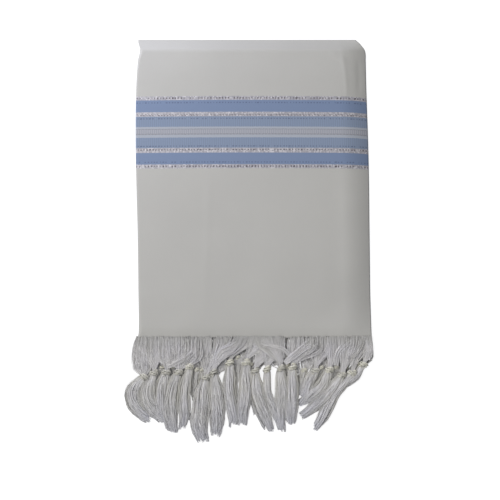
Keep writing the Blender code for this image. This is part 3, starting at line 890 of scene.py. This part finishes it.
def rowsOf(fringe):
    # a row without its own roots takes an even share of the edge
    west, east = leftSide(edgeY / mm) + 3.0, rightSide(edgeY / mm) - 3.0
    step = (east - west) / len(fringe["rows"])
    rows = []
    for number, values in enumerate(fringe["rows"]):
        row = {"rootWest": west + step * (number - 0.5), "rootEast": west + step * (number + 1.5),
               "bend": 0.0, "over": 0.0, "bulge": 0.0}
        row["sway"] = fringe["sway"] * math.sin(number * 2.1)
        row.update(zip(fringe["columns"], values))
        row["rootWest"] = max(row["rootWest"], west - 3.0)
        row["rootEast"] = min(row["rootEast"], east + 3.0)
        rows.append(row)
    rows[0]["bulge"] = -fringe["bulge"]
    rows[-1]["bulge"] = fringe["bulge"]
    return rows


# a knot's cord: its points and turns, and the rest in shares of the knot's size
knotShape = {
    "points": 30, "turns": 2.6, "end": 0.33, "belly": 0.34, "length": 1.1, "slant": 0.3, "cord": (0.4, 0.38),
}
lockPoints = {"fan": 12, "sweep": 13, "tassel": 13}


def sideOf(line):
    # unit vectors across a line, level with the floor
    side = np.cross(np.gradient(line, axis=0), (0.0, 0.0, 1.0))
    return side / np.linalg.norm(side, axis=1)[:, None]


def sideFromWeave(line, t):
    # the same for a lock that starts spread along the weave's end
    blend = smoothStep(t * 2.5)[:, None]
    return sideOf(line) * blend + np.array([-1.0, 0.0, 0.0]) * (1 - blend)


def knotLoops(guides, centre, ahead, size, number, cream):
    # a wrapped knot: a thick cord of threads goes round the tassel's line and swells in the middle
    ahead = np.asarray(ahead) / np.linalg.norm(ahead)
    side = np.cross(ahead, (0.0, 0.0, 1.0))
    side /= np.linalg.norm(side)
    up = np.cross(side, ahead)
    t = np.linspace(0, 1, knotShape["points"])
    angle = t * knotShape["turns"] * 2 * math.pi + number * 1.7
    swell = size * (knotShape["end"] + knotShape["belly"] * np.sin(math.pi * t))
    pitch = (t - 0.5) * size * knotShape["length"]
    slant = knotShape["slant"] * size * np.cos(angle + 0.6)
    ring = np.cos(angle)[:, None] * side + np.sin(angle)[:, None] * up * 0.85
    points = centre + ring * swell[:, None] + ahead * (pitch + slant)[:, None]
    wide, high = (size * share for share in knotShape["cord"])
    across = np.cross(ring, ahead) + 0.001
    guides.line(points, wide, high, turn=t * 18.0, loose=0.6, across=across, shade=cream)


def fanLocks(guides, fringe, row, neck, dice):
    # locks of threads leave the weave side by side and sweep to the knot
    start = edgeY / mm + pile["weaveEnd"]
    count = fringe["fanLocks"]
    width = row["rootEast"] - row["rootWest"]
    t = np.linspace(0.0, 1.0, lockPoints["fan"])
    for lock in range(count):
        place = (lock + 0.5) / count
        x = row["rootWest"] + width * place
        bend = row["bend"] + dice.uniform(-0.12, 0.12)
        late = np.clip(0.66 * (1 - bend), 0.0, 0.84)
        swept = smoothStep((t - late) / (1 - late) * 1.05) * fringe["gather"]
        top = float(pileTop(x, start + fringe["onWeave"]))
        top = min(fringe["rootTop"], top) + fringe["rootRise"]
        lift = 0.6 + row["over"] + dice.uniform(-1.0, 1.0)
        line = np.stack([
            x + (neck[0] - x) * swept + row["bulge"] * np.sin(math.pi * t) * (1 - place),
            start + fringe["onWeave"] + (neck[1] - start - fringe["onWeave"]) * t,
            neck[2] + (top - neck[2]) * np.minimum(1.0, 1.18 * (1 - t)) ** 2.4 + lift * np.sin(math.pi * t),
        ], axis=-1)
        wide = width / count * 0.6 * (1 - swept) + 1.8 * smoothStep(t * 2)
        high = fringe["fanHigh"] * (0.2 + 1.6 * t ** 2)
        guides.line(line, wide, high, loose=0.4 + 3.2 * np.sin(math.pi * t), across=sideFromWeave(line, t),
                    shade=fringe["light"] * dice.uniform(0.0, 1.0))


def sweepLocks(guides, fringe, dice):
    # locks that sweep across their neighbours, two beside each other
    start = edgeY / mm + pile["weaveEnd"]
    t = np.linspace(0.0, 1.0, lockPoints["sweep"])
    for sweep in fringe["sweeps"]:
        table = [(k / (len(sweep["line"]) - 1), *point) for k, point in enumerate(sweep["line"])]
        x = readTable(table, 1, t)
        y = edgeY / mm - readTable(table, 2, t)
        top = float(pileTop(x[0], start)) + fringe["rootRise"]
        sink = (fringe["knot"] + 2.0 - top) * smoothStep(t * 1.3 - 0.3)
        z = top + sink + sweep["over"] * np.sin(math.pi * t)
        line = np.stack([x, y, z], axis=-1)
        across = sideFromWeave(line, t)
        wide = sweep["wide"] * (1 - 0.55 * t)
        for half in (-0.5, 0.5):
            guides.line(line + across * (half * wide)[:, None], wide * 0.6, 0.5 + 0.9 * np.sin(math.pi * t),
                        loose=0.2 + 2.0 * np.sin(math.pi * t), across=across, shade=dice.uniform(0.2, 1.0))


def makeFringe(name, fringe, tree, materials):
    fans, tassels, knots, strays = Guides(), Guides(), Guides(), Guides()
    dice = random.Random(len(fringe["rows"]))
    edge = edgeY / mm
    for number, row in enumerate(rowsOf(fringe)):
        knot = np.array([row["knotX"], edge - row["knotOut"], fringe["knot"]])
        middle = np.array([row["midX"], edge - row["midOut"], fringe["rest"]])
        tip = np.array([row["tipX"], edge - row["tipOut"], fringe["tip"]])
        ahead = curve(knot, middle, tip, [0.06])[0] - knot
        ahead /= np.linalg.norm(ahead)
        fanLocks(fans, fringe, row, knot + ahead * fringe["fanPast"], dice)
        cream = 1.0 if number in fringe["creamKnots"] else 0.0
        knotLoops(knots, knot + (0, 0, 1.0), ahead, fringe["knotWide"], number, cream)

        # loose strands below the knot, in locks that part towards the tip
        count = fringe["locks"]
        spread = row["spread"]
        neck = min(fringe["neck"], spread * 0.75)
        for lock in range(count):
            share = (lock - (count - 1) / 2) / count
            sideways = (2 * lock / (count - 1) - 1) ** 2  # 0 in the tassel's middle, 1 at its sides
            # painted shade: a tassel's side locks are darker than its middle, and the whole lower fringe is
            # darker still
            shade = fringe["light"] * min(1.0, max(0.0, 0.95 - 0.75 * sideways + dice.uniform(-0.3, 0.15)))
            length = 1.0 + dice.uniform(-0.06, 0.03)
            t = np.linspace(0.035, length, lockPoints["tassel"])
            line = curve(knot, middle, tip, t)
            side = sideOf(line)
            opened = smoothStep(t * 3.0)
            closing = 1 - 0.42 * smoothStep((t - 0.65) * 2.6)
            wave = 0.6 * np.sin(t * dice.uniform(5, 9) + dice.uniform(0, 6)) * smoothStep(t * 2)
            sway = row["sway"] * np.sin(t * 5.5) * smoothStep(t * 2)
            off = sway + share * (neck + (spread - neck) * opened) * closing + wave
            line = line + side * off[:, None]
            line[:, 2] += (dice.uniform(-0.5, 0.5) + 1.0 - 2.0 * sideways) * smoothStep(t * 3) * (1 - 0.6 * t)
            wide = (1.3 + (spread / count * 0.8 - 1.3) * opened) * closing
            high = fringe["high"] * (0.45 + 0.55 * opened) * closing * (1 - 0.3 * sideways)
            tassels.line(line, wide, high, turn=t * dice.uniform(1.5, 4.0), loose=1.2 + 3.2 * t, shade=shade)
            strays.line(line, wide * 1.5, high * 1.3, turn=t * 2.0, loose=1.5 + 7.0 * t, shade=shade)
    sweepLocks(fans, fringe, dice)
    return [
        fans.threads(name + "Fans", tree, fringe["fanThreads"], materials["fan"]),
        tassels.threads(name + "Tassels", tree, fringe["tasselThreads"], materials["tassel"]),
        knots.threads(name + "Knots", tree, fringe["knotThreads"], materials["knot"]),
        strays.threads(name + "StrayThreads", tree, fringe["strayThreads"], materials["tassel"]),
    ]


def threadSettings(threads, radius, roundness, ragged, seed, wander, unevenStart=0.0):
    return {
        "Threads": threads,
        "Thread radius": radius * mm,
        "Sides": 3,
        "Roundness": roundness,
        "Uneven start": unevenStart,
        "Ragged": ragged,
        "Wander scale": wander,
        "Floor": 0.45 * mm,
        "Seed": seed,
    }


upperFringe["fanThreads"] = threadSettings(19, 0.34, 0.0, 0.0, 11, 75.0, 0.12)
upperFringe["tasselThreads"] = threadSettings(28, 0.42, 1.0, 0.08, 23, 120.0)
upperFringe["strayThreads"] = threadSettings(3, 0.2, 1.0, 0.3, 67, 70.0)
upperFringe["knotThreads"] = threadSettings(20, 0.36, 1.0, 0.0, 31, 200.0)
lowerFringe["fanThreads"] = threadSettings(19, 0.38, 0.0, 0.0, 41, 60.0)
lowerFringe["tasselThreads"] = threadSettings(20, 0.38, 1.0, 0.05, 53, 120.0)
lowerFringe["strayThreads"] = threadSettings(2, 0.2, 1.0, 0.3, 71, 70.0)
lowerFringe["knotThreads"] = threadSettings(16, 0.34, 1.0, 0.0, 61, 200.0)


# light and dark are the lit and the shaded thread colour, painted light and shade; tip is the colour the
# threads fade to, painted shade at the bending tips; warm is a random tone
threadTones = {
    "fan": {"light": (0.91, 0.89, 0.92), "dark": (0.72, 0.71, 0.66), "warm": (0.84, 0.81, 0.73),
            "tip": (0.88, 0.87, 0.87), "fade": 0.3, "weave": 0.95, "shade": 0.6},
    "tassel": {"light": (1.0, 0.985, 1.0), "dark": (0.49, 0.475, 0.39), "warm": (0.90, 0.88, 0.77),
               "tip": (0.67, 0.675, 0.75), "fade": 0.6, "weave": 0.0, "shade": 0.65},
    "knot": {"light": (1.0, 0.98, 0.87), "dark": (0.76, 0.745, 0.69), "warm": (0.97, 0.945, 0.82),
             "tip": (0.94, 0.915, 0.82), "fade": 0.1, "weave": 0.0, "shade": 0.75},
}


# the view and the light
camera = {
    "lens": 72.07,
    "elevation": math.radians(85),
    "distance": 1.3,
    "aim": (-0.004, -0.080, 0.012),
    "sensor": 36.0,
    "clipEnd": 50.0,
}
lights = [
    {"name": "overhead soft box", "at": (-2.0, 0.8, 3.2), "aim": (0, -0.05, 0),
     "size": 2.2, "power": 79.0, "color": (1.0, 0.99, 0.965)},
    {"name": "cool light behind", "at": (-0.46, 0.54, 0.17), "aim": (-0.1, 0.18, 0),
     "size": 0.3, "power": 2.5, "color": (0.80, 0.83, 1.0)},
    {"name": "low fill", "at": (0.2, -1.8, 0.9), "aim": (0, -0.2, 0),
     "size": 1.2, "power": 4.0, "color": (0.95, 0.96, 1.0)},
]
surround = {"color": (0.93, 0.95, 1.0), "strength": 0.27}
paleFloor = {"size": 30.0, "height": -0.0005, "color": (0.35, 0.35, 0.35), "glow": 0.88}
darkUnderlay = {"size": 12.0, "height": -0.002, "color": (0.12, 0.12, 0.12), "glow": 0.0}


def plane(name, look):
    mesh = bpy.data.meshes.new(name)
    half = look["size"] / 2
    z = look["height"]
    corners = [(-half, -half, z), (half, -half, z), (half, half, z), (-half, half, z)]
    mesh.from_pydata(corners, [], [(0, 1, 2, 3)])
    material, nodes = newMaterial(name)
    sockets = {"Base Color": color(*look["color"]), "Roughness": 0.9, "Emission Color": color(1, 1, 1),
               "Emission Strength": look["glow"], "Specular IOR Level": 0.0}
    addShader(nodes, sockets)
    return addPiece(name, mesh, material)


def makeStage():
    scene = bpy.context.scene
    floor = plane("floor", paleFloor)
    floor.visible_diffuse = False
    floor.visible_glossy = False
    under = plane("underlay", darkUnderlay)
    under.visible_camera = False
    for light in lights:
        data = bpy.data.lights.new(light["name"], "AREA")
        data.size = light["size"]
        data.energy = light["power"]
        data.color = light["color"]
        lamp = bpy.data.objects.new(light["name"], data)
        scene.collection.objects.link(lamp)
        lamp.location = light["at"]
        lamp.rotation_euler = (Vector(light["aim"]) - Vector(light["at"])).to_track_quat("-Z", "Y").to_euler()
    world = bpy.data.worlds.new("soft surround")
    world.use_nodes = True
    back = world.node_tree.nodes["Background"]
    back.inputs["Color"].default_value = color(*surround["color"])
    back.inputs["Strength"].default_value = surround["strength"]
    scene.world = world
    optics = bpy.data.cameras.new("camera")
    optics.lens = camera["lens"]
    optics.sensor_width = camera["sensor"]
    optics.clip_end = camera["clipEnd"]
    eye = bpy.data.objects.new("camera", optics)
    scene.collection.objects.link(eye)
    aim = Vector(camera["aim"])
    away = Vector((0.0, -math.cos(camera["elevation"]), math.sin(camera["elevation"])))
    eye.location = aim + away * camera["distance"]
    eye.rotation_euler = (-away).to_track_quat("-Z", "Y").to_euler()
    scene.camera = eye
    scene.view_settings.view_transform = "Standard"
    scene.view_settings.look = "None"
    print("stage set")


makeStage()
shawl = makeShawlCloth()
layers = makeInnerLayers()
tree = threadTree()
threadMaterials = {name: threadMaterial(name + " threads", tone) for name, tone in threadTones.items()}
upperPieces = makeFringe("upper", upperFringe, tree, threadMaterials)
lowerPieces = makeFringe("lower", lowerFringe, tree, threadMaterials)

for piece in [shawl, layers, *upperPieces, *lowerPieces]:
    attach(piece, "root")
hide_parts("outer_cloth")
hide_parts("inner_folds")
for piece in upperPieces:
    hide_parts("fringe_upper")
for piece in lowerPieces:
    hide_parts("fringe_lower")
